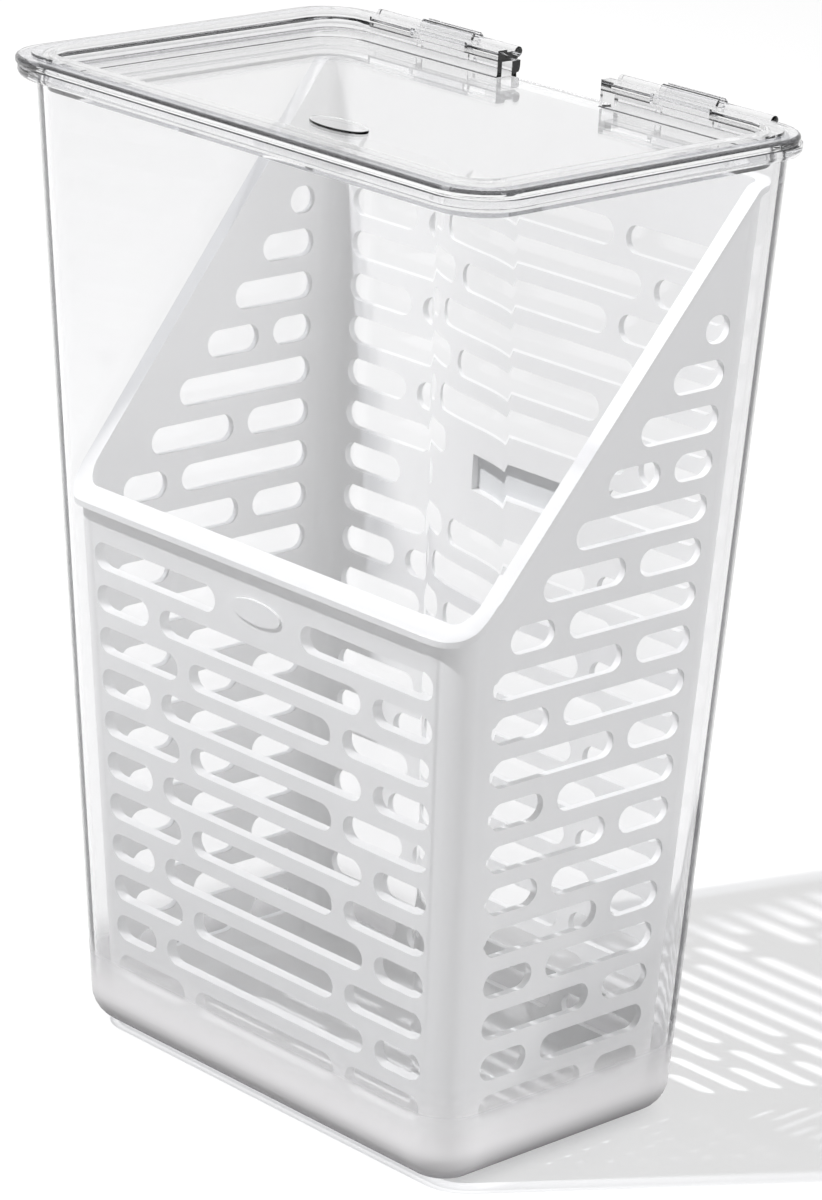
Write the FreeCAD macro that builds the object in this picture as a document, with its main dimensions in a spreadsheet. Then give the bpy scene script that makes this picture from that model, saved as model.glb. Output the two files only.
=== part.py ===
import FreeCAD
import Part
import math
import os
import Sketcher

# Produce keeper: a clear tapered bin with a hinged clear lid, a white slotted basket that stands in it
# and a grey insert behind the basket's window. Millimetres, +Z up, front towards -Y.
# Origin: middle of the footprint, on the surface that the bin stands on.

SIZES = [
    # How far a cutting block reaches past what it cuts
    ("cutPast", 1.0),
    # Bin, outside of the walls at the rim and at the floor
    ("binHalfWidthTop", 103.8),
    ("binFrontTop", 69.3),
    ("binBackTop", 71.6),
    ("sideTaper", 15.4),
    ("frontTaper", 23.5),
    ("backTaper", 7.6),
    ("binCornerTop", 17.0),
    ("binCornerBottom", 15.0),
    ("binWall", 2.2),
    ("binFloor", 2.4),
    ("floorRound", 11.0),
    ("footHeight", 1.6),
    ("footInset", 11.4),
    ("footWidth", 3.0),
    ("footRoot", 2.2),
    ("binHeight", 326.0),
    # Rim of the bin
    ("rimHeight", 4.2),
    ("rimSide", 4.2),
    ("rimBack", 1.5),
    ("rimRound", 2.4),
    ("hingeStep", 0.3),
    ("hingeStepDepth", 9.0),
    # Lid
    ("lidOverhang", 1.0),
    ("lidThickness", 3.0),
    ("lidCorner", 18.0),
    ("lidEdgeRound", 1.3),
    ("ringInset", 5.0),
    ("ringRise", 0.8),
    ("skirtDepth", 7.0),
    ("skirtWall", 2.0),
    ("skirtClearance", 1.2),
    ("skirtBackClearance", 4.9),
    ("skirtCorner", 13.5),
    ("panelThickness", 2.2),
    ("lidBadgeLength", 24.0),
    ("lidBadgeWidth", 11.0),
    ("lidBadgeY", 27.0),
    ("badgeHeight", 0.8),
    # Hinge and the notch between its two halves
    ("notchHalf", 23.0),
    ("notchDepth", 8.5),
    ("notchClearance", 0.4),
    ("notchRound", 4.0),
    ("panelTab", 4.0),
    ("rodRadius", 1.7),
    ("rodLift", 0.9),
    ("rodFit", 0.1),
    ("rodEnd", 88.0),
    ("clipStart", 42.0),
    ("clipEnd", 66.0),
    ("clipWall", 1.1),
    ("clipMouth", 2.2),
    ("clipGap", 0.6),
    # Basket
    ("basketGap", 5.1),
    ("basketBackGap", 5.4),
    ("basketWall", 2.4),
    ("basketFrontWall", 4.0),
    ("basketFloor", 2.6),
    ("basketCorner", 9.0),
    ("basketFloorRound", 8.0),
    ("lipOverhang", 3.2),
    ("lipHeight", 2.0),
    ("frontDrop", 140.5),
    ("backDrop", 13.0),
    ("slopeStart", 51.3),
    ("slopeAngle", 50.3),
    ("slopeRoundFront", 14.0),
    ("slopeRoundBack", 5.0),
    ("tabHalf", 27.0),
    ("tabGap", 0.7),
    ("tabRound", 5.0),
    # Slots
    ("slotHeight", 9.2),
    ("slotPitch", 14.4),
    ("slotFirst", 24.0),
    ("frontRowMargin", 10.0),
    ("backRowMargin", 20.0),
    ("slotCornerMargin", 10.6),
    ("slotSideFront", 14.3),
    ("slotSideBack", 12.2),
    ("slotSlopeMargin", 22.1),
    ("slotGap", 5.4),
    ("sideGap", 6.3),
    ("wideDivider", 49.7),
    ("narrowDivider", 36.0),
    ("badgeDivider", 17.3),
    ("sideDivider", 0.32),
    ("clippedDivider", 0.56),
    ("frontBadgeLength", 22.5),
    ("frontBadgeWidth", 8.0),
    ("frontBadgeRise", 2.2),
    # Window and the insert behind it
    ("windowHalf", 18.7),
    ("windowHeight", 12.2),
    ("windowRise", 6.0),
    ("insertEdge", 2.4),
    ("insertThickness", 2.9),
    ("insertGap", 0.2),
    ("insertBack", 1.6),
    ("frameWall", 1.6),
]

# Two heights closer than this count as one level
levelSlack = 0.01

doc = FreeCAD.newDocument("produce_keeper")
sheet = doc.addObject("Spreadsheet::Sheet", "sizes")
for row, (alias, value) in enumerate(SIZES, start=1):
    sheet.set(f"A{row}", alias)
    sheet.set(f"B{row}", str(value))
    sheet.setAlias(f"B{row}", alias)
doc.recompute()


def size(alias):
    """The value of one driving dimension."""
    return float(getattr(sheet, alias))


def cell(text):
    """An expression over the sheet: every alias in the text gets the sheet's name."""
    words = sorted((alias for alias, value in SIZES), key=len, reverse=True)
    out = ""
    place = 0
    while place < len(text):
        match = next((word for word in words if text.startswith(word, place)), None)
        if match:
            out += "sizes." + match
            place += len(match)
        else:
            out += text[place]
            place += 1
    return out


def add(kind, name, **links):
    """A new object of the document with its links and plain properties set."""
    item = doc.addObject(kind, name)
    for key, value in links.items():
        setattr(item, key, value)
    return item


def roundedSketch(name, height, half, front, back, corner, body=None):
    """A rounded rectangle at a height: half widths along X, front and back distances along Y."""
    kind = "Sketcher::SketchObject"
    sketch = body.newObject(kind, name) if body else doc.addObject(kind, name)
    if body:
        plane = next(item for item in body.Origin.OriginFeatures if item.Role == "XY_Plane")
        sketch.AttachmentSupport = (plane, [""])
        sketch.MapMode = "FlatFace"
        sketch.setExpression("AttachmentOffset.Base.z", cell(height))
    else:
        sketch.setExpression("Placement.Base.z", cell(height))
    x, y0, y1, r = 50.0, -50.0, 50.0, 10.0
    up = FreeCAD.Vector(0, 0, 1)
    corners = [(x - r, y0 + r, 270), (x - r, y1 - r, 0), (-x + r, y1 - r, 90), (-x + r, y0 + r, 180)]
    ends = [(-x + r, y0, x - r, y0), (x, y0 + r, x, y1 - r), (x - r, y1, -x + r, y1), (-x, y1 - r, -x, y0 + r)]
    shapes = []
    for (xa, ya, xb, yb), (xc, yc, start) in zip(ends, corners):
        shapes.append(Part.LineSegment(FreeCAD.Vector(xa, ya, 0), FreeCAD.Vector(xb, yb, 0)))
        circle = Part.Circle(FreeCAD.Vector(xc, yc, 0), up, r)
        shapes.append(Part.ArcOfCircle(circle, math.radians(start), math.radians(start + 90)))
    sketch.addGeometry(shapes, False)
    rules = []
    for index in range(8):
        rules.append(Sketcher.Constraint("Tangent", index, 2, (index + 1) % 8, 1))
    for index, kind in ((0, "Horizontal"), (2, "Vertical"), (4, "Horizontal"), (6, "Vertical")):
        rules.append(Sketcher.Constraint(kind, index))
    for index in (3, 5, 7):
        rules.append(Sketcher.Constraint("Equal", 1, index))
    sketch.addConstraint(rules)
    named = [
        ("corner", Sketcher.Constraint("Radius", 1, r), corner),
        ("front", Sketcher.Constraint("DistanceY", 0, 1, -1, 1, -y0), front),
        ("right", Sketcher.Constraint("DistanceX", -1, 1, 2, 1, x), half),
        ("back", Sketcher.Constraint("DistanceY", -1, 1, 4, 1, y1), back),
        ("left", Sketcher.Constraint("DistanceX", 6, 1, -1, 1, x), half),
    ]
    for label, rule, expression in named:
        index = sketch.addConstraint(rule)
        sketch.renameConstraint(index, label)
    for label, rule, expression in named:
        sketch.setExpression("Constraints." + label, cell(expression))
    return sketch


def edgeNames(shape, test):
    """Names of the edges whose middle passes the test."""
    names = []
    for index, edge in enumerate(shape.Edges, start=1):
        middle = edge.valueAt((edge.FirstParameter + edge.LastParameter) / 2)
        if test(middle):
            names.append(f"Edge{index}")
    return names


def bodyFeature(body, kind, name, **settings):
    """A PartDesign feature in a body; text values become expressions."""
    item = body.newObject("PartDesign::" + kind, name)
    for key, value in settings.items():
        if isinstance(value, str):
            item.setExpression(key, cell(value))
        else:
            setattr(item, key, value)
    return item


def roundEdges(body, name, radius, test):
    """A fillet on the edges of the body's tip that pass the test."""
    doc.recompute()
    base = body.Tip
    names = edgeNames(base.Shape, test)
    return bodyFeature(body, "Fillet", name, Base=(base, names), Radius=radius)


def boxAt(name, x0, x1, y0, y1, z0, z1):
    """A block between two corners, each given as an expression over the sheet."""
    block = add("Part::Box", name)
    for axis, low, high, side in (("x", x0, x1, "Length"), ("y", y0, y1, "Width"), ("z", z0, z1, "Height")):
        block.setExpression("Placement.Base." + axis, cell(low))
        block.setExpression(side, cell(f"({high}) - ({low})"))
    return block


def rodAt(name, radius, x0, x1, y, z):
    """A cylinder along X between two ends, each given as an expression."""
    rod = add("Part::Cylinder", name)
    rod.Placement.Rotation = FreeCAD.Rotation(FreeCAD.Vector(0, 1, 0), 90)
    rod.setExpression("Radius", cell(radius))
    rod.setExpression("Height", cell(f"({x1}) - ({x0})"))
    rod.setExpression("Placement.Base.x", cell(x0))
    rod.setExpression("Placement.Base.y", cell(y))
    rod.setExpression("Placement.Base.z", cell(z))
    return rod


def roundLow(name, base, level, radius):
    """A fillet on the edges at one level."""
    doc.recompute()
    edges = [index for index, edge in enumerate(base.Shape.Edges, start=1)
             if abs(edge.CenterOfMass.z - level) < levelSlack]
    item = add("Part::Fillet", name, Base=base)
    item.Edges = [(index, radius, radius) for index in edges]
    return item


def plate(name, outline, height):
    """An outline raised to a plate of the given thickness."""
    item = add("Part::Extrusion", name, Base=outline, Dir=FreeCAD.Vector(0, 0, 1), Solid=True)
    item.setExpression("LengthFwd", cell(height))
    return item


def fuse(name, shapes):
    return add("Part::MultiFuse", name, Shapes=shapes)


def cut(name, base, tool):
    return add("Part::Cut", name, Base=base, Tool=tool)


def common(name, shapes):
    return add("Part::MultiCommon", name, Shapes=shapes)


# Levels that several pieces share
rimTop = "binHeight"
lidTop = "binHeight + lidThickness"
hingeY = "binBackTop"
hingeZ = "binHeight + rodRadius + rodLift"
floorTop = "footHeight + binFloor"
clipRadius = "rodRadius + rodFit + clipWall"
lidHalf = "binHalfWidthTop + rimSide + lidOverhang"
lidFront = "binFrontTop + rimSide + lidOverhang"
lidBack = "binBackTop"
panelTop = "binHeight - skirtDepth + panelThickness"
halves = (("left", -1), ("right", 1))


def span(side, near, far):
    """The two ends along X of what runs from near to far on one side."""
    return (near, far) if side > 0 else (f"-({far})", f"-({near})")


# Bin: walls, rim, foot ring and floor as one moulding
wallSide = "binHalfWidthTop - sideTaper"
wallFront = "binFrontTop - frontTaper"
wallBack = "binBackTop - backTaper"
outerLow = roundedSketch("binOuterLow", "footHeight", wallSide, wallFront, wallBack, "binCornerBottom")
outerHigh = roundedSketch("binOuterHigh", "binHeight - rimHeight", "binHalfWidthTop", "binFrontTop",
                          "binBackTop", "binCornerTop")
binOuter = add("Part::Loft", "binOuter", Sections=[outerLow, outerHigh], Solid=True, Ruled=True)
binOuterRound = roundLow("binOuterRound", binOuter, size("footHeight"), size("floorRound"))
rimOutline = roundedSketch("binRimOutline", "binHeight - rimHeight", "binHalfWidthTop + rimSide",
                           "binFrontTop + rimSide", "binBackTop + rimBack", "binCornerTop")
binRim = plate("binRim", rimOutline, "rimHeight")
binRimRound = roundLow("binRimRound", binRim, size("binHeight") - size("rimHeight"), size("rimRound"))
footOutline = roundedSketch("binFootOutline", "0", wallSide + " - footInset", wallFront + " - footInset",
                            wallBack + " - footInset", "binCornerBottom - footInset / 2")
footInner = roundedSketch("binFootInner", "0", wallSide + " - footInset - footWidth",
                          wallFront + " - footInset - footWidth", wallBack + " - footInset - footWidth",
                          "binCornerBottom - footInset / 2 - footWidth / 2")
binFoot = cut("binFoot", plate("binFootOuter", footOutline, "footHeight + footRoot"),
              plate("binFootHollow", footInner, "footHeight + footRoot"))
binBlock = fuse("binBlock", [binOuterRound, binRimRound, binFoot])
innerLow = roundedSketch("binInnerLow", floorTop, wallSide + " - binWall", wallFront + " - binWall",
                         wallBack + " - binWall", "binCornerBottom - binWall")
innerHigh = roundedSketch("binInnerHigh", "binHeight + binWall", "binHalfWidthTop - binWall",
                          "binFrontTop - binWall", "binBackTop - binWall", "binCornerTop - binWall")
binHollow = add("Part::Loft", "binHollow", Sections=[innerLow, innerHigh], Solid=True, Ruled=True)
binHollowRound = roundLow("binHollowRound", binHollow, size("footHeight") + size("binFloor"),
                          size("floorRound") - size("binWall"))

# Bin: notch in the back edge, the step under the lid's rod and the clips
binNotch = boxAt("binNotch", "-notchHalf - notchClearance", "notchHalf + notchClearance",
                 "binBackTop - hingeStepDepth", "binBackTop + rimBack + clipWall",
                 "binHeight - notchDepth", "binHeight + binWall")
binNotchRound = add("Part::Fillet", "binNotchRound", Base=binNotch)
doc.recompute()
lowNotchEdges = [index for index, edge in enumerate(binNotch.Shape.Edges, start=1)
                 if abs(edge.CenterOfMass.z - size("binHeight") + size("notchDepth")) < levelSlack
                 and abs(edge.CenterOfMass.x) > size("notchHalf") / 2]
binNotchRound.Edges = [(index, size("notchRound"), size("notchRound")) for index in lowNotchEdges]
binStep = boxAt("binStep", "-binHalfWidthTop - rimSide - cutPast", "binHalfWidthTop + rimSide + cutPast",
                "binBackTop - hingeStepDepth", "binBackTop + rimBack + cutPast",
                "binHeight - hingeStep", "binHeight + cutPast")
binClips = []
binBores = []
for word, side in halves:
    start, end = span(side, "clipStart", "clipEnd")
    ring = rodAt(word + "ClipRing", clipRadius, start, end, hingeY, hingeZ)
    web = boxAt(word + "ClipWeb", start, end, "binBackTop - clipWall - rodRadius",
                "binBackTop + clipWall + rodRadius + rodFit", "binHeight - rimHeight", hingeZ)
    binClips += [ring, web]
    boreStart, boreEnd = span(side, "clipStart - cutPast", "clipEnd + cutPast")
    binBores.append(rodAt(word + "ClipBore", "rodRadius + rodFit", boreStart, boreEnd, hingeY, hingeZ))
    binBores.append(boxAt(word + "ClipMouth", boreStart, boreEnd, "binBackTop - clipMouth / 2",
                          "binBackTop + clipMouth / 2", hingeZ,
                          hingeZ + " + " + clipRadius + " + cutPast"))
binTub = cut("binTub", binBlock, binHollowRound)
binCut = cut("binCut", binTub, fuse("binCuts", [binNotchRound, binStep]))
binPiece = cut("bin", fuse("binWithClips", [binCut] + binClips), fuse("binClipCuts", binBores))

# Lid: flange, skirt and recessed panel as one moulding
lidBody = doc.addObject("PartDesign::Body", "lidBody")
flange = roundedSketch("lidFlangeOutline", rimTop, lidHalf, lidFront, lidBack, "lidCorner", lidBody)
bodyFeature(lidBody, "Pad", "lidFlange", Profile=flange, Length="lidThickness")
roundEdges(lidBody, "lidEdge", "lidEdgeRound",
           lambda p: min(abs(p.z - size("binHeight")),
                         abs(p.z - size("binHeight") - size("lidThickness"))) < levelSlack)
skirtHalf = "binHalfWidthTop - binWall - skirtClearance"
skirtFront = "binFrontTop - binWall - skirtClearance"
skirtBack = "binBackTop - binWall - skirtBackClearance"
skirt = roundedSketch("lidSkirtOutline", "binHeight - skirtDepth", skirtHalf, skirtFront, skirtBack,
                      "skirtCorner", lidBody)
bodyFeature(lidBody, "Pad", "lidSkirt", Profile=skirt, Length="skirtDepth")
ring = roundedSketch("lidRingOutline", lidTop, lidHalf + " - ringInset", lidFront + " - ringInset",
                     lidBack + " - ringInset", "lidCorner - ringInset", lidBody)
bodyFeature(lidBody, "Pad", "lidRing", Profile=ring, Length="ringRise")
recess = roundedSketch("lidRecessOutline", lidTop + " + ringRise", skirtHalf + " - skirtWall",
                       skirtFront + " - skirtWall", skirtBack + " - skirtWall",
                       "skirtCorner - skirtWall", lidBody)
bodyFeature(lidBody, "Pocket", "lidRecess", Profile=recess,
            Length="lidThickness + ringRise + skirtDepth - panelThickness")
roundEdges(lidBody, "lidRecessRound", "skirtWall / 2",
           lambda p: abs(p.z - size("binHeight") + size("skirtDepth") - size("panelThickness")) < levelSlack)

# Lid: notch at the back, gaps for the clips, hinge rods and the blank oval
lidCuts = [boxAt("lidNotch", "-notchHalf", "notchHalf", skirtBack + " - skirtWall - cutPast",
                 "binBackTop + rodRadius + cutPast", panelTop, lidTop + " + cutPast"),
           boxAt("lidNotchLow", "-notchHalf", "notchHalf", skirtBack, "binBackTop + rodRadius + cutPast",
                 "binHeight - cutPast", lidTop + " + ringRise + cutPast")]
lidRods = []
for word, side in halves:
    start, end = span(side, "clipStart - clipGap", "clipEnd + clipGap")
    lidCuts.append(boxAt(word + "ClipGap", start, end, "binBackTop - (" + clipRadius + ") - clipGap",
                         "binBackTop + rodRadius + cutPast", "binHeight - cutPast", lidTop + " + cutPast"))
    start, end = span(side, "notchHalf", "rodEnd")
    lidRods.append(rodAt(word + "HingeRod", "rodRadius", start, end, hingeY, hingeZ))
lidBadge = add("Part::Feature", "lidBadge")
ellipse = Part.Ellipse(FreeCAD.Vector(), size("lidBadgeLength") / 2, size("lidBadgeWidth") / 2)
lidBadge.Shape = Part.Face(Part.Wire(ellipse.toShape())).extrude(FreeCAD.Vector(0, 0, size("badgeHeight") * 2))
lidBadge.Placement.Base.y = -size("lidBadgeY")
lidBadge.setExpression("Placement.Base.z", cell("(" + panelTop + ") - badgeHeight"))
lidCut = cut("lidCut", lidBody, fuse("lidCutTools", lidCuts))
panelTab = boxAt("panelTab", "-notchHalf", "notchHalf", skirtBack + " - skirtWall", skirtBack + " + panelTab",
                 "binHeight - skirtDepth", panelTop)
lidPiece = fuse("lid", [lidCut, lidBadge, panelTab] + lidRods)

# Basket: its top levels follow the bin's height
frontLip = size("binHeight") - size("frontDrop")
backLip = size("binHeight") - size("backDrop")
tabTop = size("binHeight") - size("skirtDepth") - size("tabGap")
windowMiddle = frontLip + size("windowRise")


# Basket: outlines of its walls, parallel to the bin's
def basketLoft(name, grow, growFront, corner, lowZ, highZ):
    """A tapered block along the basket's walls; the walls keep the bin's taper over its height."""
    share = "(binHeight - rimHeight - ({})) / (binHeight - rimHeight - footHeight)"
    sections = []
    for word, level in (("Low", lowZ), ("High", highZ)):
        part = share.format(level)
        sections.append(roundedSketch(
            name + word, level,
            f"binHalfWidthTop - binWall - basketGap + ({grow}) - sideTaper * {part}",
            f"binFrontTop - binWall - basketGap + ({growFront}) - frontTaper * {part}",
            f"binBackTop - binWall - basketBackGap + ({grow}) - backTaper * {part}",
            corner))
    return add("Part::Loft", name, Sections=sections, Solid=True, Ruled=True)


basketOuter = basketLoft("basketOuter", "0", "0", "basketCorner", floorTop, rimTop)
basketInner = basketLoft("basketInner", "-basketWall", "-basketFrontWall",
                         "basketCorner - basketWall", floorTop + " + basketFloor", "binHeight + cutPast")
basketLip = basketLoft("basketLip", "lipOverhang", "lipOverhang",
                       "basketCorner + lipOverhang", floorTop, rimTop)
basketFoot = size("footHeight") + size("binFloor")
outerRound = roundLow("basketOuterRound", basketOuter, basketFoot, size("basketFloorRound"))
innerRound = roundLow("basketInnerRound", basketInner, basketFoot + size("basketFloor"),
                      size("basketFloorRound") - size("basketWall"))


def roundedPath(points, radii):
    """Edges of a path in the YZ plane with tangent arcs at its inner points."""
    vectors = [FreeCAD.Vector(0, y, z) for y, z in points]
    edges = []
    last = vectors[0]
    for before, here, after, radius in zip(vectors, vectors[1:], vectors[2:], radii):
        a = (before - here).normalize()
        b = (after - here).normalize()
        half = a.getAngle(b) / 2
        reach = radius / math.tan(half)
        middle = here + (a + b).normalize() * (radius / math.sin(half) - radius)
        edges.append(Part.LineSegment(last, here + a * reach).toShape())
        edges.append(Part.Arc(here + a * reach, middle, here + b * reach).toShape())
        last = here + b * reach
    edges.append(Part.LineSegment(last, vectors[-1]).toShape())
    return edges


def slopeAt(height, drop=0.0):
    """Y of the sloped rim's top line at a height, or of a line that lies below it."""
    rise = math.tan(math.radians(size("slopeAngle")))
    down = drop / math.cos(math.radians(size("slopeAngle")))
    return -size("slopeStart") + (height - frontLip + down) / rise


def underRim(name, drop):
    """Everything below the basket's top line, or below a line that lies under it."""
    low = frontLip - drop
    high = backLip - drop
    reach = size("binHeight")
    path = [(-reach, low), (slopeAt(low, drop), low), (slopeAt(high, drop), high), (reach, high)]
    edges = roundedPath(path, (size("slopeRoundFront") + drop, size("slopeRoundBack")))
    corners = [FreeCAD.Vector(0, *path[-1]), FreeCAD.Vector(0, reach, -1), FreeCAD.Vector(0, -reach, -1),
               FreeCAD.Vector(0, *path[0])]
    for start, end in zip(corners, corners[1:]):
        edges.append(Part.LineSegment(start, end).toShape())
    face = Part.Face(Part.Wire(edges))
    block = add("Part::Feature", name)
    block.Shape = face.extrude(FreeCAD.Vector(2 * size("binHeight"), 0, 0))
    block.Placement.Base.x = -size("binHeight")
    return block


belowTop = underRim("belowTop", 0.0)
belowLip = underRim("belowLip", size("lipHeight"))
backZone = ("0", "binBackTop + binWall")
tabLevel = "binHeight - skirtDepth - tabGap"
tabFoot = "binHeight - backDrop - lipHeight * 2"
tabBlock = boxAt("tabBlock", "-tabHalf", "tabHalf", *backZone, tabFoot, tabLevel)
tabRound = add("Part::Fillet", "tabRound", Base=tabBlock)
doc.recompute()
tabEdges = [index for index, edge in enumerate(tabBlock.Shape.Edges, start=1)
            if abs(edge.CenterOfMass.z - tabTop) < levelSlack
            and abs(edge.CenterOfMass.x) > size("tabHalf") / 2]
tabRound.Edges = [(index, size("tabRound"), size("tabRound")) for index in tabEdges]
tabLow = boxAt("tabLow", "-tabHalf + lipHeight", "tabHalf - lipHeight", *backZone,
               tabFoot, tabLevel + " - lipHeight")
topZone = fuse("topZone", [belowTop, tabRound])
lipZone = cut("lipZone", topZone, fuse("lipBelow", [belowLip, tabLow]))
basketShell = fuse("basketShell", [common("basketWalls", [outerRound, topZone]),
                                   common("basketRim", [basketLip, lipZone])])


def wallAt(top, taper, height):
    """Distance of a tapered outer wall of the basket from the middle, at a height."""
    reach = size("binHeight") - size("rimHeight")
    share = (reach - height) / (reach - size("footHeight"))
    return size(top) - size("binWall") - size("basketGap") - size(taper) * share


def backAt(height):
    """Y of the outer face of the basket's back wall at a height."""
    return wallAt("binBackTop", "backTaper", height) + size("basketGap") - size("basketBackGap")


def slot(start, end, height, along, low, high):
    """A slot with round ends from start to end, cut along Y or X between low and high."""
    radius = size("slotHeight") / 2
    first = start + radius
    last = max(end - radius, first + levelSlack)
    top = FreeCAD.Vector(0, 0, radius)
    if along == "y":
        turn = FreeCAD.Vector(1, 0, 0)
        ends = [FreeCAD.Vector(first, low, height), FreeCAD.Vector(last, low, height)]
        path = FreeCAD.Vector(0, high - low, 0)
    else:
        turn = FreeCAD.Vector(0, 1, 0)
        ends = [FreeCAD.Vector(low, first, height), FreeCAD.Vector(low, last, height)]
        path = FreeCAD.Vector(high - low, 0, 0)
    a, b = ends
    edges = [Part.LineSegment(a + top, b + top).toShape(),
             Part.Arc(b + top, b + turn * radius, b - top).toShape(),
             Part.LineSegment(b - top, a - top).toShape(),
             Part.Arc(a - top, a - turn * radius, a + top).toShape()]
    return Part.Face(Part.Wire(edges)).extrude(path)


def rowHeight(row):
    return size("slotFirst") + row * size("slotPitch")


def rowsBelow(level):
    """Number of slot rows whose middle lies below a level."""
    return int((level - size("slotFirst")) / size("slotPitch")) + 1


def facingRow(row, height, skipMiddle):
    """Slots of one row of the front or back wall, as pairs of ends along X."""
    edge = wallAt("binHalfWidthTop", "sideTaper", height) - size("slotCornerMargin")
    divider = size("wideDivider") if row % 2 else size("narrowDivider")
    if skipMiddle == "badge":
        divider = size("badgeDivider")
    gap = size("slotGap") / 2
    ends = [(divider + gap, edge), (-edge, -divider - gap)]
    if not skipMiddle:
        ends.append((-divider + gap, divider - gap))
    return ends


def sideRow(row, height):
    """Slots of one row of a side wall, as pairs of ends along Y."""
    front = -wallAt("binFrontTop", "frontTaper", height) + size("slotSideFront")
    back = backAt(height) - size("slotSideBack")
    start = max(front, slopeAt(height) + size("slotSlopeMargin"))
    length = back - start
    if length < size("slotHeight"):
        return []
    clipped = start > front + size("slotPitch") / 2
    if not clipped:
        share = size("sideDivider") if row % 2 else 1 - size("sideDivider")
        divider = front + (back - front) * share
    elif row % 2 or length < 4 * size("slotHeight"):
        divider = None
    else:
        divider = start + length * size("clippedDivider")
    if divider is None:
        return [(start, back)]
    gap = size("sideGap") / 2
    return [(start, divider - gap), (divider + gap, back)]


slots = []
slack = size("slotGap") / 2
frontWall = size("basketFrontWall")
wall = size("basketWall")
frontRows = rowsBelow(frontLip - size("frontRowMargin"))
for row in range(frontRows):
    height = rowHeight(row)
    face = -wallAt("binFrontTop", "frontTaper", height)
    for start, end in facingRow(row, height, "badge" if row == frontRows - 1 else ""):
        slots.append(slot(start, end, height, "y", face - slack, face + frontWall + slack))
windowReach = (size("windowHeight") + size("slotHeight")) / 2 + size("frameWall") + size("insertEdge")
for row in range(rowsBelow(backLip - size("backRowMargin"))):
    height = rowHeight(row)
    face = backAt(height)
    besideWindow = abs(height - windowMiddle) < windowReach
    for start, end in facingRow(row, height, "window" if besideWindow else ""):
        slots.append(slot(start, end, height, "y", face - wall - slack, face + slack))
for row in range(rowsBelow(backLip)):
    height = rowHeight(row)
    face = wallAt("binHalfWidthTop", "sideTaper", height)
    for start, end in sideRow(row, height):
        slots.append(slot(start, end, height, "x", face - wall - slack, face + slack))
        slots.append(slot(start, end, height, "x", -face - slack, -face + wall + slack))
slotCuts = add("Part::Feature", "slotCuts")
slotCuts.Shape = Part.makeCompound(slots)

# Basket: frame and pocket behind the window, and the insert in it
windowLow = "binHeight - frontDrop + windowRise - windowHeight / 2"
insertFace = backAt(windowMiddle)
frameDepth = size("insertBack") + size("insertThickness") + size("insertGap")


def behindWindow(name, margin, near, far):
    """A block behind the window, so far past its edges, between two depths from the wall's outer face."""
    block = add("Part::Box", name)
    block.setExpression("Placement.Base.x", cell(f"-(windowHalf + {margin})"))
    block.setExpression("Length", cell(f"2 * (windowHalf + {margin})"))
    block.setExpression("Placement.Base.z", cell(f"{windowLow} - ({margin})"))
    block.setExpression("Height", cell(f"windowHeight + 2 * ({margin})"))
    block.Placement.Base.y = insertFace + near
    block.Width = far - near
    return block


lean = size("windowHeight") * size("backTaper") / size("binHeight")
wallDeep = size("basketWall") + lean
frame = behindWindow("frame", "insertEdge + insertGap + frameWall", -size("basketWall") / 2, frameDepth)
pocket = behindWindow("framePocket", "insertEdge + insertGap", size("insertBack"), frameDepth + size("cutPast"))
window = behindWindow("window", "0", -2 * wallDeep, frameDepth)
ventInsert = behindWindow("vent_insert", "insertEdge", size("insertBack"),
                          size("insertBack") + size("insertThickness"))

frontBadge = add("Part::Feature", "frontBadge")
badgeHeight = rowHeight(frontRows - 1) + size("frontBadgeRise")
badgeFace = -wallAt("binFrontTop", "frontTaper", badgeHeight)
ellipse = Part.Ellipse(FreeCAD.Vector(), size("frontBadgeLength") / 2, size("frontBadgeWidth") / 2)
badgeDeep = FreeCAD.Vector(0, 0, 3 * size("badgeHeight"))
frontBadge.Shape = Part.Face(Part.Wire(ellipse.toShape())).extrude(badgeDeep)
frontBadge.Placement = FreeCAD.Placement(
    FreeCAD.Vector(0, badgeFace + 2 * size("badgeHeight"), badgeHeight),
    FreeCAD.Rotation(FreeCAD.Vector(1, 0, 0), 90 + math.degrees(math.atan(
        size("frontTaper") / (size("binHeight") - size("rimHeight") - size("footHeight"))))))

basketHollow = cut("basketHollow", basketShell, innerRound)
basketSolid = fuse("basketSolid", [basketHollow, frame, frontBadge])
basketSlotted = cut("basketSlotted", basketSolid, slotCuts)
basket = cut("basket", basketSlotted, fuse("windowCuts", [window, pocket]))

pieces = {"bin": binPiece, "lid": lidPiece, "basket": basket, "vent_insert": ventInsert}
for name, piece in pieces.items():
    piece.Label = name
doc.recompute()

failed = [item.Name for item in doc.Objects if "Invalid" in item.State or "Error" in item.State]
if failed:
    raise RuntimeError(f"these objects failed: {failed}")
os.makedirs("parts", exist_ok=True)
for name, piece in pieces.items():
    shape = piece.Shape
    if shape.isNull() or not shape.isValid():
        raise RuntimeError(f"{name} is not a valid shape")
    if len(shape.Solids) != 1:
        raise RuntimeError(f"{name} has {len(shape.Solids)} solids")
for name, piece in pieces.items():
    piece.Shape.exportStep(f"parts/{name}.step")
    box = piece.Shape.BoundBox
    print(name, "volume", round(piece.Shape.Volume / 1000, 1), "cm3, box",
          [round(v, 1) for v in (box.XMin, box.XMax, box.YMin, box.YMax, box.ZMin, box.ZMax)])
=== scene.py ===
import math
import bmesh
import bpy
from mathutils import Matrix, Vector


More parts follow.
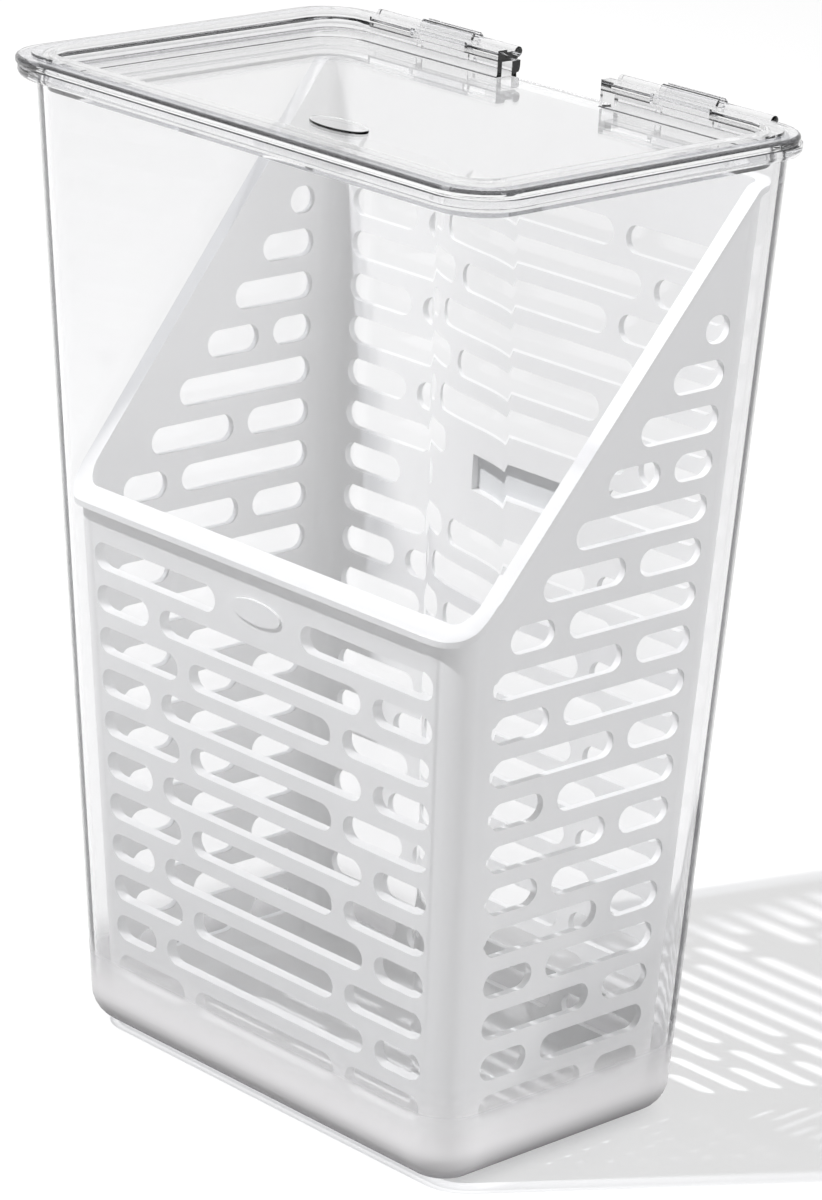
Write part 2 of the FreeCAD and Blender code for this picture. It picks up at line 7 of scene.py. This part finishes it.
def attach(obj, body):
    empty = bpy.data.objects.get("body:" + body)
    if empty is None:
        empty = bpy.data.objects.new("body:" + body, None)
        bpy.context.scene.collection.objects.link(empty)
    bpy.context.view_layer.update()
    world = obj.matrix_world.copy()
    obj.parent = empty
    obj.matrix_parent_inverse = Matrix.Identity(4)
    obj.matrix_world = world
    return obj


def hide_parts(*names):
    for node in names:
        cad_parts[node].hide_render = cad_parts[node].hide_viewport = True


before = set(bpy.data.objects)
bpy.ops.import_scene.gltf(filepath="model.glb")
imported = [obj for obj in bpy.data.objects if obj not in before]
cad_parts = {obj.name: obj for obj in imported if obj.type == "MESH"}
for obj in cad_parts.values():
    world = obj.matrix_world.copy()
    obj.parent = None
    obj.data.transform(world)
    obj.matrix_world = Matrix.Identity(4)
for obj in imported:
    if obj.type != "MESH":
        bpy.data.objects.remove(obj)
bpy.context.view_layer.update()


# Small helpers for materials

def newMaterial(name):
    mat = bpy.data.materials.new(name)
    mat.use_nodes = True
    nodes = mat.node_tree.nodes
    nodes.clear()
    out = nodes.new("ShaderNodeOutputMaterial")
    return mat, nodes, mat.node_tree.links, out


def objectNoise(nodes, links, scale, detail):
    coords = nodes.new("ShaderNodeTexCoord")
    noise = nodes.new("ShaderNodeTexNoise")
    noise.inputs["Scale"].default_value = scale
    noise.inputs["Detail"].default_value = detail
    links.new(coords.outputs["Object"], noise.inputs["Vector"])
    return noise.outputs["Fac"]


def ramp(nodes, links, source, low, high, lowColor, highColor):
    node = nodes.new("ShaderNodeValToRGB")
    node.color_ramp.elements[0].position = low
    node.color_ramp.elements[0].color = (*lowColor, 1)
    node.color_ramp.elements[1].position = high
    node.color_ramp.elements[1].color = (*highColor, 1)
    links.new(source, node.inputs["Fac"])
    return node.outputs["Color"]


def bump(nodes, links, source, strength, distance):
    node = nodes.new("ShaderNodeBump")
    node.inputs["Strength"].default_value = strength
    node.inputs["Distance"].default_value = distance
    links.new(source, node.inputs["Height"])
    return node.outputs["Normal"]


def mapRange(nodes, links, source, low, high, toLow, toHigh):
    node = nodes.new("ShaderNodeMapRange")
    node.interpolation_type = "SMOOTHSTEP"
    for name, value in (("From Min", low), ("From Max", high), ("To Min", toLow), ("To Max", toHigh)):
        node.inputs[name].default_value = value
    links.new(source, node.inputs["Value"])
    return node.outputs[0]


def joined(nodes, links, operation, first, second):
    node = nodes.new("ShaderNodeMath")
    node.operation = operation
    for index, source in enumerate((first, second)):
        if isinstance(source, float):
            node.inputs[index].default_value = source
        else:
            links.new(source, node.inputs[index])
    return node.outputs[0]


def mixed(nodes, links, factor, first, second):
    node = nodes.new("ShaderNodeMixShader")
    links.new(factor, node.inputs["Fac"])
    links.new(first, node.inputs[1])
    links.new(second, node.inputs[2])
    return node.outputs[0]


# Clear plastic of the tub and the lid

clearLook = {
    "tint": (0.995, 0.995, 0.998),
    "roughness": 0.02,
    "ior": 1.5,
    "slantBlend": 0.5,
    "shadowFacing": (0.94, 0.94, 0.945),  # light let through where a wall faces it
    "shadowGrazing": (0.45, 0.46, 0.48),  # and where it only grazes the wall
    "grazingStart": 0.45,
    "deepest": 6.0,  # bounces after which the plastic is plain clear
    "paintedEdgeShadeTint": (0.10, 0.10, 0.11),  # painted shade: thin dark lines where a wall turns away, in place of the darkening refraction gives there
    "edgeShadeOuter": (0.90, 0.99),
    "edgeShadeInner": (0.262, 0.275, 0.30, 0.36),
    "edgeShadeStrength": 0.85,
    "waveScale": 14.0,
    "waveDetail": 1.0,
    "waveStrength": 0.25,
    "waveDepth": 0.0002,
    "frost": 0.0,
}

# The tub is a little greyer, and milky near its base, with painted shade on the milky layer where the base
# turns under; levels in metres
tubClearLook = dict(clearLook, **{
    "tint": (0.965, 0.965, 0.97),
    "frost": 0.7,
    "frostLevels": (0.012, 0.038),
    # painted shade: the milky layer is darker at its lowest part
    "frostShadedColor": (0.34, 0.33, 0.34),
    "frostHigh": (0.86, 0.85, 0.86),
    "frostShadeLevels": (0.002, 0.016),
})


# Share of the painted shade, a dark line where a wall turns away, from outside and from within the plastic
def paintedEdgeShadeShare(nodes, links, facing, look):
    shape = nodes.new("ShaderNodeNewGeometry")
    within = shape.outputs["Backfacing"]
    outside = joined(nodes, links, "SUBTRACT", 1.0, within)
    outer = mapRange(nodes, links, facing, *look["edgeShadeOuter"], 0.0, 1.0)
    rise = mapRange(nodes, links, facing, *look["edgeShadeInner"][:2], 0.0, 1.0)
    fall = mapRange(nodes, links, facing, *look["edgeShadeInner"][2:], 1.0, 0.0)
    inner = joined(nodes, links, "MULTIPLY", rise, fall)
    first = joined(nodes, links, "MULTIPLY", outer, outside)
    second = joined(nodes, links, "MULTIPLY", inner, within)
    either = joined(nodes, links, "MAXIMUM", first, second)
    return joined(nodes, links, "MULTIPLY", either, look["edgeShadeStrength"])


def frosted(nodes, links, surface, look):
    frost = nodes.new("ShaderNodeBsdfDiffuse")
    place = nodes.new("ShaderNodeTexCoord")
    split = nodes.new("ShaderNodeSeparateXYZ")
    links.new(place.outputs["Object"], split.inputs[0])
    height = split.outputs["Z"]
    # Painted shade: the milky colour darkens toward the very bottom, where the base turns under
    underShade = mapRange(nodes, links, height, *look["frostShadeLevels"], 0.0, 1.0)
    shade = ramp(nodes, links, underShade, 0.0, 1.0, look["frostShadedColor"], look["frostHigh"])
    links.new(shade, frost.inputs["Color"])
    low = mapRange(nodes, links, height, *look["frostLevels"], look["frost"], 0.0)
    return mixed(nodes, links, low, surface, frost.outputs[0])


def clearPlastic(name, look):
    mat, nodes, links, out = newMaterial(name)
    shader = nodes.new("ShaderNodeBsdfPrincipled")
    shader.inputs["Base Color"].default_value = (*look["tint"], 1)
    shader.inputs["Roughness"].default_value = look["roughness"]
    shader.inputs["IOR"].default_value = look["ior"]
    shader.inputs["Transmission Weight"].default_value = 1.0
    waves = objectNoise(nodes, links, look["waveScale"], look["waveDetail"])
    links.new(bump(nodes, links, waves, look["waveStrength"], look["waveDepth"]), shader.inputs["Normal"])
    clear = nodes.new("ShaderNodeBsdfTransparent")
    slant = nodes.new("ShaderNodeLayerWeight")
    slant.inputs["Blend"].default_value = look["slantBlend"]
    facing = slant.outputs["Facing"]
    tone = ramp(nodes, links, facing, look["grazingStart"], 1.0, look["shadowFacing"],
                look["shadowGrazing"])
    links.new(tone, clear.inputs["Color"])
    # Painted shade: a dark clear layer mixed in along the edges where a wall turns away
    dark = nodes.new("ShaderNodeBsdfTransparent")
    dark.inputs["Color"].default_value = (*look["paintedEdgeShadeTint"], 1)
    paintedEdgeShade = paintedEdgeShadeShare(nodes, links, facing, look)
    surface = mixed(nodes, links, paintedEdgeShade, shader.outputs[0], dark.outputs[0])
    if look["frost"]:
        surface = frosted(nodes, links, surface, look)
    path = nodes.new("ShaderNodeLightPath")
    either = joined(nodes, links, "MAXIMUM", path.outputs["Is Shadow Ray"], path.outputs["Is Diffuse Ray"])
    deep = joined(nodes, links, "GREATER_THAN", path.outputs["Ray Depth"], look["deepest"])
    passed = joined(nodes, links, "MAXIMUM", either, deep)
    links.new(mixed(nodes, links, passed, surface, clear.outputs[0]), out.inputs["Surface"])
    return mat


# Moulded plastic of the basket and the insert: a faint cloud of tone and a fine grain

mouldedLook = {
    "ior": 1.49,
    "cloudScale": 9.0,
    "cloudDetail": 4.0,
    "cloudEdges": (0.3, 0.7),
    "grainDetail": 2.0,
    "grainStrength": 0.2,
}

whiteLook = dict(mouldedLook, **{
    "low": (0.81, 0.81, 0.81),
    "high": (0.85, 0.85, 0.85),
    "roughness": 0.42,
    "grainScale": 900.0,
    "grainDepth": 0.00005,
})

insertLook = dict(mouldedLook, **{
    "low": (0.66, 0.67, 0.68),
    "high": (0.71, 0.72, 0.73),
    "roughness": 0.5,
    "grainScale": 700.0,
    "grainDepth": 0.00008,
})


def mouldedPlastic(name, look):
    mat, nodes, links, out = newMaterial(name)
    shader = nodes.new("ShaderNodeBsdfPrincipled")
    shader.inputs["Roughness"].default_value = look["roughness"]
    shader.inputs["IOR"].default_value = look["ior"]
    cloud = objectNoise(nodes, links, look["cloudScale"], look["cloudDetail"])
    tone = ramp(nodes, links, cloud, *look["cloudEdges"], look["low"], look["high"])
    links.new(tone, shader.inputs["Base Color"])
    grain = objectNoise(nodes, links, look["grainScale"], look["grainDetail"])
    links.new(bump(nodes, links, grain, look["grainStrength"], look["grainDepth"]), shader.inputs["Normal"])
    links.new(shader.outputs[0], out.inputs["Surface"])
    return mat


clearBin = clearPlastic("clearTub", tubClearLook)
clearLid = clearPlastic("clearLid", clearLook)
whiteBasket = mouldedPlastic("whiteSatin", whiteLook)
greyInsert = mouldedPlastic("greyMatt", insertLook)
print("materials made")


# Helpers for finished meshes

sharpAngle = 35  # degrees past which an edge stays sharp
flatWeight = 90  # how much large faces lead the normals


def addObject(name, mesh):
    item = bpy.data.objects.new(name, mesh)
    bpy.context.scene.collection.objects.link(item)
    return item


def applyModifiers(item):
    mesh = bpy.data.meshes.new_from_object(item.evaluated_get(bpy.context.evaluated_depsgraph_get()))
    item.modifiers.clear()
    item.data = mesh


def smoothFaces(mesh):
    mesh.polygons.foreach_set("use_smooth", [True] * len(mesh.polygons))


def leadWithFlats(item):
    even = item.modifiers.new("flatParts", "WEIGHTED_NORMAL")
    even.mode = "FACE_AREA"
    even.weight = flatWeight
    even.keep_sharp = True


# Refined copies of the CAD nodes: merged, flat parts joined, edges rounded

pieceLook = {
    "lid": {"material": clearLid, "edge": 0.0005, "join": 0.0, "keepFlat": False,
            "body": "lid", "slot": "clear_lid"},
    "basket": {"material": whiteBasket, "edge": 0.0006, "join": 0.6, "keepFlat": True,
               "body": "tub", "slot": "white_plastic"},
    "vent_insert": {"material": greyInsert, "edge": 0.0005, "join": 0.6, "keepFlat": True,
                    "body": "tub", "slot": "grey_plastic"},
}
mergeDistance = 0.00001
bevelLook = {"segments": 2, "angle": 40}


def roundedCopy(node, look):
    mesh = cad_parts[node].data.copy()
    mesh.materials.clear()
    piece = addObject(node + "Shown", mesh)
    work = bmesh.new()
    work.from_mesh(mesh)
    bmesh.ops.remove_doubles(work, verts=work.verts, dist=mergeDistance)
    if look["join"]:
        joinAngle = math.radians(look["join"])
        bmesh.ops.dissolve_limit(work, angle_limit=joinAngle, verts=work.verts, edges=work.edges)
    work.to_mesh(mesh)
    work.free()
    mesh.materials.append(look["material"])
    smoothFaces(mesh)
    bevel = piece.modifiers.new("edges", "BEVEL")
    bevel.width = look["edge"]
    bevel.segments = bevelLook["segments"]
    bevel.limit_method = "ANGLE"
    bevel.angle_limit = math.radians(bevelLook["angle"])
    bevel.use_clamp_overlap = True
    if look["keepFlat"]:
        mesh.set_sharp_from_angle(angle=math.radians(sharpAngle))
        bevel.harden_normals = True
    else:
        leadWithFlats(piece)
    applyModifiers(piece)
    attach(piece, look["body"])
    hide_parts(node)


for nodeName, look in pieceLook.items():
    roundedCopy(nodeName, look)
    print(nodeName, "rounded")


# Clear tub: even rings from the foot up to the rim and down the inside, in millimetres

tubLook = {
    "floorHalf": 88.4, "floorFront": 45.8, "floorBack": 64.0, "floorCorner": 15.0,
    "topHalf": 103.8, "topFront": 69.3, "topBack": 71.6, "topCorner": 17.0,
    "footHeight": 1.6, "footInset": 11.4, "footWidth": 3.0, "footEdge": 0.3,
    "wall": 2.2, "floor": 2.4, "floorRound": 11.0, "leastCorner": 1.0,
    "rimLow": 321.8, "top": 326.0, "rimSide": 4.2, "rimBack": 1.5, "rimRound": 2.4, "rimEdge": 0.6,
    "rimSeat": 0.5, "seatSide": 0.4, "seatBack": 0.1,  # small step under the rim
    "cornerSteps": 20, "roundSteps": 8, "rimSteps": 3,
    "notchHalf": 23.4, "notchDepth": 8.5, "notchRound": 4.0, "stepDepth": 9.0, "step": 0.3,
    "hingeZ": 328.6, "rodRadius": 1.7, "rodFit": 0.1, "clipWall": 1.1, "clipMouth": 2.2,
    "clipStart": 42.0, "clipEnd": 66.0, "webInset": 0.1, "webRise": 0.4, "borePast": 1, "mouthHeight": 9,
    "cutPast": 5, "ledgeHalf": 120,
}
rodSides = 48
notchSegments = 6
lowSlack = 0.1  # millimetres


def ringLoop(work, half, front, back, corner, z, steps):
    verts = []
    for cx, cy, start in ((1, -1, -90), (1, 1, 0), (-1, 1, 90), (-1, -1, 180)):
        middleX = cx * (half - corner)
        middleY = back - corner if cy > 0 else -front + corner
        for step in range(steps + 1):
            angle = math.radians(start + 90 * step / steps)
            x = middleX + corner * math.cos(angle)
            y = middleY + corner * math.sin(angle)
            verts.append(work.verts.new((x / 1000, y / 1000, z / 1000)))
    return verts


def bridgeLoops(work, first, second):
    count = len(first)
    for index in range(count):
        after = (index + 1) % count
        work.faces.new((first[index], first[after], second[after], second[index]))


# Half width, front, back, corner and height of the tub's wall at a height
def tubSection(look, z, inset, extraSide=0.0, extraBack=0.0):
    share = (z - look["footHeight"]) / (look["rimLow"] - look["footHeight"])
    half, front, back, corner = (
        look["floor" + word] + (look["top" + word] - look["floor" + word]) * share - inset
        for word in ("Half", "Front", "Back", "Corner"))
    return half + extraSide, front + extraSide, back + extraBack, max(corner, look["leastCorner"]), z


def footRings(look):
    outer, inner, edge = look["footInset"], look["footInset"] + look["footWidth"], look["footEdge"]
    places = ((inner, look["footHeight"]), (inner, edge), (inner - edge, 0.0),
              (outer + edge, 0.0), (outer, edge))
    return [tubSection(look, z, inset) for inset, z in places]


def rimRings(look):
    low, top, side = look["rimLow"], look["top"], look["rimSide"]
    edge, bend, steps = look["rimEdge"], look["rimRound"], look["roundSteps"]
    rings = [tubSection(look, low - look["rimSeat"], 0.0),
             tubSection(look, low, 0.0, look["seatSide"], look["seatBack"])]
    for step in range(steps + 1):  # rounded underside of the rim
        angle = math.radians(90 * step / steps)
        out = side - bend + bend * math.sin(angle)
        level = low + bend * (1 - math.cos(angle))
        rings.append(tubSection(look, level, 0.0, out, out * look["rimBack"] / side))
    for step in range(1, look["rimSteps"] + 1):  # outer top edge
        angle = math.radians(90 * step / look["rimSteps"])
        out = side - edge * (1 - math.cos(angle))
        level = top - edge * (1 - math.sin(angle))
        rings.append(tubSection(look, level, 0.0, out, out * look["rimBack"] / side))
    for step in range(look["rimSteps"] + 1):  # inner top edge
        angle = math.radians(90 * step / look["rimSteps"])
        level = top - edge * (1 - math.cos(angle))
        rings.append(tubSection(look, level, look["wall"] - edge * (1 - math.sin(angle))))
    return rings


def tubRings(look):
    foot, bend, steps, wall = look["footHeight"], look["floorRound"], look["roundSteps"], look["wall"]
    rings = footRings(look)
    lowest = math.degrees(math.asin(1 - look["footInset"] / bend))
    for step in range(steps + 1):  # rounded edge of the base, outside
        angle = math.radians(lowest + (90 - lowest) * step / steps)
        rings.append(tubSection(look, foot + bend * (1 - math.cos(angle)), bend * (1 - math.sin(angle))))
    rings += rimRings(look)
    rings.append(tubSection(look, look["rimLow"], wall))
    base = foot + look["floor"]
    bend -= wall
    for step in range(steps + 1):  # rounded edge of the base, inside
        angle = math.radians(90 - 90 * step / steps)
        level = base + bend * (1 - math.cos(angle))
        rings.append(tubSection(look, level, wall + bend * (1 - math.sin(angle))))
    return rings


def meshObject(name, work):
    mesh = bpy.data.meshes.new(name)
    bmesh.ops.recalc_face_normals(work, faces=work.faces)
    work.to_mesh(mesh)
    work.free()
    return addObject(name, mesh)


def isLowCrosswise(edge, level):
    first, second = (vert.co for vert in edge.verts)
    slack = lowSlack / 1000
    return abs(first.y - second.y) > slack and max(first.z, second.z) < level / 1000 + slack


def blockObject(name, low, high, lowRound=0.0):
    work = bmesh.new()
    bmesh.ops.create_cube(work, size=1)
    for vert in work.verts:
        vert.co = Vector([(low[i] if vert.co[i] < 0 else high[i]) / 1000 for i in range(3)])
    if lowRound:
        edges = [edge for edge in work.edges if isLowCrosswise(edge, low[2])]
        bmesh.ops.bevel(work, geom=edges, offset=lowRound / 1000, segments=notchSegments, profile=0.5,
                        affect="EDGES")
    return meshObject(name, work)


def rodObject(name, radius, start, end, y, z):
    work = bmesh.new()
    loops = []
    for x in (start, end):
        loop = []
        for step in range(rodSides):
            angle = 2 * math.pi * step / rodSides
            place = (x, y + radius * math.cos(angle), z + radius * math.sin(angle))
            loop.append(work.verts.new([value / 1000 for value in place]))
        loops.append(loop)
    bridgeLoops(work, *loops)
    work.faces.new(loops[0])
    work.faces.new(loops[1])
    return meshObject(name, work)


def combine(base, tools, operation):
    for tool in tools:
        step = base.modifiers.new(operation.lower(), "BOOLEAN")
        step.operation = operation
        step.solver = "EXACT"
        step.object = tool
    applyModifiers(base)
    for tool in tools:
        bpy.data.objects.remove(tool)


def makeClip(look, start, end):
    y, z, past = look["topBack"], look["hingeZ"], look["borePast"]
    bore = look["rodRadius"] + look["rodFit"]
    outer = bore + look["clipWall"]
    reach = outer - look["webInset"]
    halfMouth = look["clipMouth"] / 2
    clip = rodObject("clip", outer, start, end, y, z)
    web = blockObject("web", (start, y - reach, look["rimLow"] + look["webRise"]), (end, y + reach, z))
    combine(clip, [web], "UNION")
    hole = rodObject("bore", bore, start - past, end + past, y, z)
    mouth = blockObject("mouth", (start - past, y - halfMouth, z),
                        (end + past, y + halfMouth, z + look["mouthHeight"]))
    combine(clip, [hole, mouth], "DIFFERENCE")
    return clip


def makeTub(look):
    work = bmesh.new()
    loops = [ringLoop(work, *ring, look["cornerSteps"]) for ring in tubRings(look)]
    for first, second in zip(loops, loops[1:]):
        bridgeLoops(work, first, second)
    work.faces.new(loops[0])
    work.faces.new(loops[-1])
    tub = meshObject("clearTub", work)
    top, past = look["top"], look["cutPast"]
    front, back = look["topBack"] - look["stepDepth"], look["topBack"] + past
    notch = blockObject("notch", (-look["notchHalf"], front, top - look["notchDepth"]),
                        (look["notchHalf"], back, top + past), look["notchRound"])
    ledge = blockObject("ledge", (-look["ledgeHalf"], front, top - look["step"]),
                        (look["ledgeHalf"], back, top + past))
    combine(tub, [notch, ledge], "DIFFERENCE")
    clips = [makeClip(look, look["clipStart"], look["clipEnd"]),
             makeClip(look, -look["clipEnd"], -look["clipStart"])]
    combine(tub, clips, "UNION")
    tub.data.materials.clear()
    tub.data.materials.append(clearBin)
    smoothFaces(tub.data)
    tub.data.set_sharp_from_angle(angle=math.radians(sharpAngle))
    leadWithFlats(tub)
    applyModifiers(tub)
    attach(tub, "tub")
    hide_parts("bin")
    print("tub made", len(tub.data.polygons))


makeTub(tubLook)


# Floor, lamp and surroundings

studio = {
    "floorHalf": 6.0,
    "floorColor": (0.95, 0.95, 0.95),
    "floorGlow": 0.28,  # lifts the shadow where the floor is seen
    "floorBounce": (0.48, 0.48, 0.48),  # what the floor gives back to the object
    "floorThroughShade": 0.18,  # painted shade: the floor is darker where it is seen through the clear walls
    "keyPlace": (-0.705, -1.589, 2.469),
    "keyPower": 338.0,
    "keyRadius": 0.03,
    "roomLight": 0.08,
    "roomTop": 0.38,
    "roomTopEdge": (0.2, 0.9),
    "roomSide": 1.85,  # soft light from the right
    "roomSideAhead": (0.86, 0.47, 0.18),
    "backdropAhead": (-0.715, 0.699, 0.0),
    "backdropLight": 1.2,
    "sideDark": 0.08,
    "backdropEdge": (0.5, 0.8),
    "topLight": 0.95,
    "topEdge": (0.45, 0.7),
}


def makeFloor():
    mesh = bpy.data.meshes.new("floor")
    half = studio["floorHalf"]
    corners = [(-half, -half, 0), (half, -half, 0), (half, half, 0), (-half, half, 0)]
    mesh.from_pydata(corners, [], [(0, 1, 2, 3)])
    floor = addObject("floor", mesh)
    mat, nodes, links, out = newMaterial("studioFloor")
    shader = nodes.new("ShaderNodeBsdfDiffuse")
    path = nodes.new("ShaderNodeLightPath")
    through = path.outputs["Is Transmission Ray"]
    bounce = ramp(nodes, links, path.outputs["Is Diffuse Ray"], 0.0, 1.0, studio["floorColor"],
                  studio["floorBounce"])
    links.new(bounce, shader.inputs["Color"])
    white = nodes.new("ShaderNodeEmission")
    seen = joined(nodes, links, "MAXIMUM", path.outputs["Is Camera Ray"], through)
    share = joined(nodes, links, "MULTIPLY", seen, studio["floorGlow"])
    lit = mixed(nodes, links, share, shader.outputs[0], white.outputs[0])
    black = nodes.new("ShaderNodeEmission")
    black.inputs["Strength"].default_value = 0.0
    # Painted shade on the floor where it is seen through the clear walls
    throughShade = joined(nodes, links, "MULTIPLY", through, studio["floorThroughShade"])
    links.new(mixed(nodes, links, throughShade, lit, black.outputs[0]), out.inputs["Surface"])
    mesh.materials.append(mat)


def makeKey():
    data = bpy.data.lights.new("keyLight", "POINT")
    data.energy = studio["keyPower"]
    data.shadow_soft_size = studio["keyRadius"]
    lamp = addObject("keyLight", data)
    lamp.location = studio["keyPlace"]


# How far a direction of the surroundings points the given way
def towards(nodes, links, direction, way):
    node = nodes.new("ShaderNodeVectorMath")
    node.operation = "DOT_PRODUCT"
    node.inputs[1].default_value = way
    links.new(direction, node.inputs[0])
    return node.outputs["Value"]


def makeWorld():
    world = bpy.data.worlds.new("studioWorld")
    bpy.context.scene.world = world
    world.use_nodes = True
    nodes = world.node_tree.nodes
    links = world.node_tree.links
    nodes.clear()
    out = nodes.new("ShaderNodeOutputWorld")
    light = nodes.new("ShaderNodeBackground")  # what lights the object
    around = nodes.new("ShaderNodeBackground")  # what shows in reflections
    white = nodes.new("ShaderNodeBackground")  # what the camera sees
    white.inputs["Strength"].default_value = 1.0
    coords = nodes.new("ShaderNodeTexCoord")
    direction = coords.outputs["Generated"]
    split = nodes.new("ShaderNodeSeparateXYZ")
    links.new(direction, split.inputs[0])
    rise = split.outputs["Z"]
    ahead = towards(nodes, links, direction, studio["backdropAhead"])
    backdrop = mapRange(nodes, links, ahead, *studio["backdropEdge"], studio["sideDark"],
                        studio["backdropLight"])
    top = mapRange(nodes, links, rise, *studio["topEdge"], 0.0, studio["topLight"])
    links.new(joined(nodes, links, "MAXIMUM", backdrop, top), around.inputs["Strength"])
    beside = towards(nodes, links, direction, studio["roomSideAhead"])
    side = mapRange(nodes, links, beside, 0.0, 1.0, 0.0, studio["roomSide"])
    above = mapRange(nodes, links, rise, *studio["roomTopEdge"], studio["roomLight"],
                     studio["roomLight"] + studio["roomTop"])
    links.new(joined(nodes, links, "ADD", side, above), light.inputs["Strength"])
    path = nodes.new("ShaderNodeLightPath")
    seen = joined(nodes, links, "MAXIMUM", path.outputs["Is Glossy Ray"],
                  path.outputs["Is Transmission Ray"])
    unseen = mixed(nodes, links, seen, light.outputs[0], around.outputs[0])
    shown = mixed(nodes, links, path.outputs["Is Camera Ray"], unseen, white.outputs[0])
    links.new(shown, out.inputs["Surface"])


# Camera: place in metres, angles in degrees

cameraPlace = {
    "place": (1.0297, -0.9926, 0.6538),
    "underShade": 45.64,
    "tilt": 18.89,
    "roll": 3.09,
    "lens": 142.8,
    "sensor": 36,
}


def makeCamera():
    data = bpy.data.cameras.new("camera")
    data.lens = cameraPlace["lens"]
    data.sensor_width = cameraPlace["sensor"]
    data.sensor_fit = "AUTO"
    camera = addObject("camera", data)
    underShade, tilt, roll = (math.radians(cameraPlace[word]) for word in ("underShade", "tilt", "roll"))
    ahead = Vector((-math.sin(underShade) * math.cos(tilt), math.cos(underShade) * math.cos(tilt), -math.sin(tilt)))
    side = Vector((math.cos(underShade), math.sin(underShade), 0))
    up = side.cross(ahead)
    right = side * math.cos(roll) + up * math.sin(roll)
    top = up * math.cos(roll) - side * math.sin(roll)
    turnMatrix = Matrix((right, top, -ahead)).transposed().to_4x4()
    camera.matrix_world = Matrix.Translation(cameraPlace["place"]) @ turnMatrix
    bpy.context.scene.camera = camera


makeFloor()
makeKey()
makeWorld()
makeCamera()
bpy.context.scene.view_settings.view_transform = "Standard"
print("studio ready")
